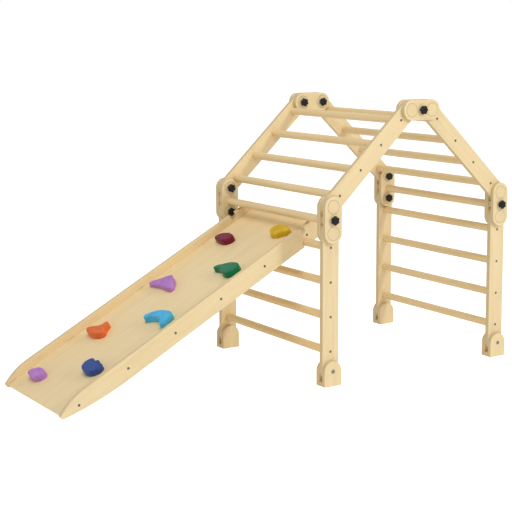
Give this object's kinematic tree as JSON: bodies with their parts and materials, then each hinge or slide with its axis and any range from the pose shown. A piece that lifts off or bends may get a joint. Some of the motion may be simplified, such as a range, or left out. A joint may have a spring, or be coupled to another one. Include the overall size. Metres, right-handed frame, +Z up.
{
  "type": "folding climbing arch with ramp",
  "caption": "Toddler folding wooden climbing arch of hinged ladder panels, with a hook-on ramp carrying coloured climbing holds.",
  "frame": {"origin": "on the floor, below the middle of the overall length and width", "axes": "+X along the arch's span, away from the ramp; +Y across the rungs, towards the side that the ramp sits nearer to; +Z up"},
  "size_m": [1.7298, 0.7482, 0.9702],
  "materials": {
    "birch": "satin clear-oiled birch plywood",
    "beech": "satin clear-oiled beech dowel",
    "deck": "satin clear-oiled birch plywood sheet",
    "knob_black": "moulded",
    "zinc": "zinc plated",
    "lilac": "moulded resin",
    "navy": "moulded resin",
    "orange": "moulded resin",
    "sky": "moulded resin",
    "green": "moulded resin",
    "maroon": "moulded resin",
    "yellow": "moulded resin"
  },
  "bodies": {
    "ridge_link": {"ridge_outer_plates": "birch", "ridge_inner_plates": "birch", "ridge_spacers": "birch"},
    "ridge_middle_knobs": {"ridge_middle_knobs": "knob_black"},
    "roof_left": {"roof_left_rail_front": "birch", "roof_left_rail_back": "birch", "roof_left_rungs": "beech", "roof_left_screws": "zinc", "roof_left_hubs": "birch"},
    "roof_left_lower_knobs": {"roof_left_lower_knobs": "knob_black"},
    "roof_left_upper_knobs": {"roof_left_upper_knobs": "knob_black"},
    "eave_left_link": {"eave_left_outer_plates": "birch", "eave_left_inner_plates": "birch", "eave_left_spacers": "birch", "eave_left_cross_rung": "beech"},
    "eave_left_middle_knobs": {"eave_left_middle_knobs": "knob_black"},
    "leg_left": {"leg_left_rail_front": "birch", "leg_left_rail_back": "birch", "leg_left_rungs": "beech", "leg_left_screws": "zinc", "leg_left_hubs": "birch", "leg_left_foot_bolts": "zinc"},
    "leg_left_knobs": {"leg_left_knobs": "knob_black"},
    "foot_left_front": {"foot_left_front": "birch"},
    "foot_left_back": {"foot_left_back": "birch"},
    "roof_right": {"roof_right_rail_front": "birch", "roof_right_rail_back": "birch", "roof_right_rungs": "beech", "roof_right_screws": "zinc", "roof_right_hubs": "birch"},
    "roof_right_lower_knobs": {"roof_right_lower_knobs": "knob_black"},
    "roof_right_upper_knobs": {"roof_right_upper_knobs": "knob_black"},
    "eave_right_link": {"eave_right_outer_plates": "birch", "eave_right_inner_plates": "birch", "eave_right_spacers": "birch", "eave_right_cross_rung": "beech"},
    "eave_right_middle_knobs": {"eave_right_middle_knobs": "knob_black"},
    "leg_right": {"leg_right_rail_front": "birch", "leg_right_rail_back": "birch", "leg_right_rungs": "beech", "leg_right_screws": "zinc", "leg_right_hubs": "birch", "leg_right_foot_bolts": "zinc"},
    "leg_right_knobs": {"leg_right_knobs": "knob_black"},
    "foot_right_front": {"foot_right_front": "birch"},
    "foot_right_back": {"foot_right_back": "birch"},
    "ramp": {"ramp_deck": "deck", "ramp_board_front": "birch", "ramp_board_back": "birch", "ramp_screws": "zinc", "hold_lilac_pebble": "lilac", "hold_navy_shell": "navy", "hold_orange_bean": "orange", "hold_sky_crescent": "sky", "hold_lilac_fin": "lilac", "hold_green_leaf": "green", "hold_maroon_button": "maroon", "hold_yellow_drop": "yellow", "hold_bolts": "zinc", "hold_washers": "zinc"}
  },
  "joints": [
    {"name": "ridge_middle_knobs_turn", "type": "hinge", "parent": "ridge_link", "child": "ridge_middle_knobs", "pos_m": [0.4489, 0, 0.93424], "axis": [0, 1, 0], "continuous": true},
    {"name": "roof_left_hinge", "type": "hinge", "parent": "ridge_link", "child": "roof_left", "pos_m": [0.4039, 0, 0.93424], "axis": [0, -1, 0], "range_deg": [-133, 40]},
    {"name": "eave_left_hinge", "type": "hinge", "parent": "roof_left", "child": "eave_left_link", "pos_m": [0.0689, 0, 0.619], "axis": [0, 1, 0], "range_deg": [-43, 130]},
    {"name": "leg_left_hinge", "type": "hinge", "parent": "eave_left_link", "child": "leg_left", "pos_m": [0.0689, 0, 0.529], "axis": [0, -1, 0], "range_deg": [-75, 20]},
    {"name": "roof_left_upper_knobs_turn", "type": "hinge", "parent": "roof_left", "child": "roof_left_upper_knobs", "pos_m": [0.4039, 0, 0.93424], "axis": [0, 1, 0], "continuous": true},
    {"name": "roof_left_lower_knobs_turn", "type": "hinge", "parent": "roof_left", "child": "roof_left_lower_knobs", "pos_m": [0.0689, 0, 0.619], "axis": [0, 1, 0], "continuous": true},
    {"name": "leg_left_knobs_turn", "type": "hinge", "parent": "leg_left", "child": "leg_left_knobs", "pos_m": [0.0689, 0, 0.529], "axis": [0, 1, 0], "continuous": true},
    {"name": "eave_left_middle_knobs_turn", "type": "hinge", "parent": "eave_left_link", "child": "eave_left_middle_knobs", "pos_m": [0.0689, 0, 0.574], "axis": [0, 1, 0], "continuous": true},
    {"name": "foot_left_front_swivel", "type": "hinge", "parent": "leg_left", "child": "foot_left_front", "pos_m": [0.0689, 0, 0.052], "axis": [0, 1, 0], "range_deg": [-90, 90]},
    {"name": "foot_left_back_swivel", "type": "hinge", "parent": "leg_left", "child": "foot_left_back", "pos_m": [0.0689, 0, 0.052], "axis": [0, 1, 0], "range_deg": [-90, 90]},
    {"name": "roof_right_hinge", "type": "hinge", "parent": "ridge_link", "child": "roof_right", "pos_m": [0.4939, 0, 0.93424], "axis": [0, 1, 0], "range_deg": [-133, 40]},
    {"name": "eave_right_hinge", "type": "hinge", "parent": "roof_right", "child": "eave_right_link", "pos_m": [0.8289, 0, 0.619], "axis": [0, -1, 0], "range_deg": [-43, 130]},
    {"name": "leg_right_hinge", "type": "hinge", "parent": "eave_right_link", "child": "leg_right", "pos_m": [0.8289, 0, 0.529], "axis": [0, -1, 0], "range_deg": [-90, 90]},
    {"name": "roof_right_upper_knobs_turn", "type": "hinge", "parent": "roof_right", "child": "roof_right_upper_knobs", "pos_m": [0.4939, 0, 0.93424], "axis": [0, 1, 0], "continuous": true},
    {"name": "roof_right_lower_knobs_turn", "type": "hinge", "parent": "roof_right", "child": "roof_right_lower_knobs", "pos_m": [0.8289, 0, 0.619], "axis": [0, 1, 0], "continuous": true},
    {"name": "leg_right_knobs_turn", "type": "hinge", "parent": "leg_right", "child": "leg_right_knobs", "pos_m": [0.8289, 0, 0.529], "axis": [0, 1, 0], "continuous": true},
    {"name": "eave_right_middle_knobs_turn", "type": "hinge", "parent": "eave_right_link", "child": "eave_right_middle_knobs", "pos_m": [0.8289, 0, 0.574], "axis": [0, 1, 0], "continuous": true},
    {"name": "foot_right_front_swivel", "type": "hinge", "parent": "leg_right", "child": "foot_right_front", "pos_m": [0.8289, 0, 0.052], "axis": [0, 1, 0], "range_deg": [-90, 90]},
    {"name": "foot_right_back_swivel", "type": "hinge", "parent": "leg_right", "child": "foot_right_back", "pos_m": [0.8289, 0, 0.052], "axis": [0, 1, 0], "range_deg": [-90, 90]},
    {"name": "ramp_tilt", "type": "hinge", "parent": "leg_left", "child": "ramp", "pos_m": [0.0689, 0, 0.479], "axis": [0, 1, 0], "range_deg": [0, 60]}
  ]
}
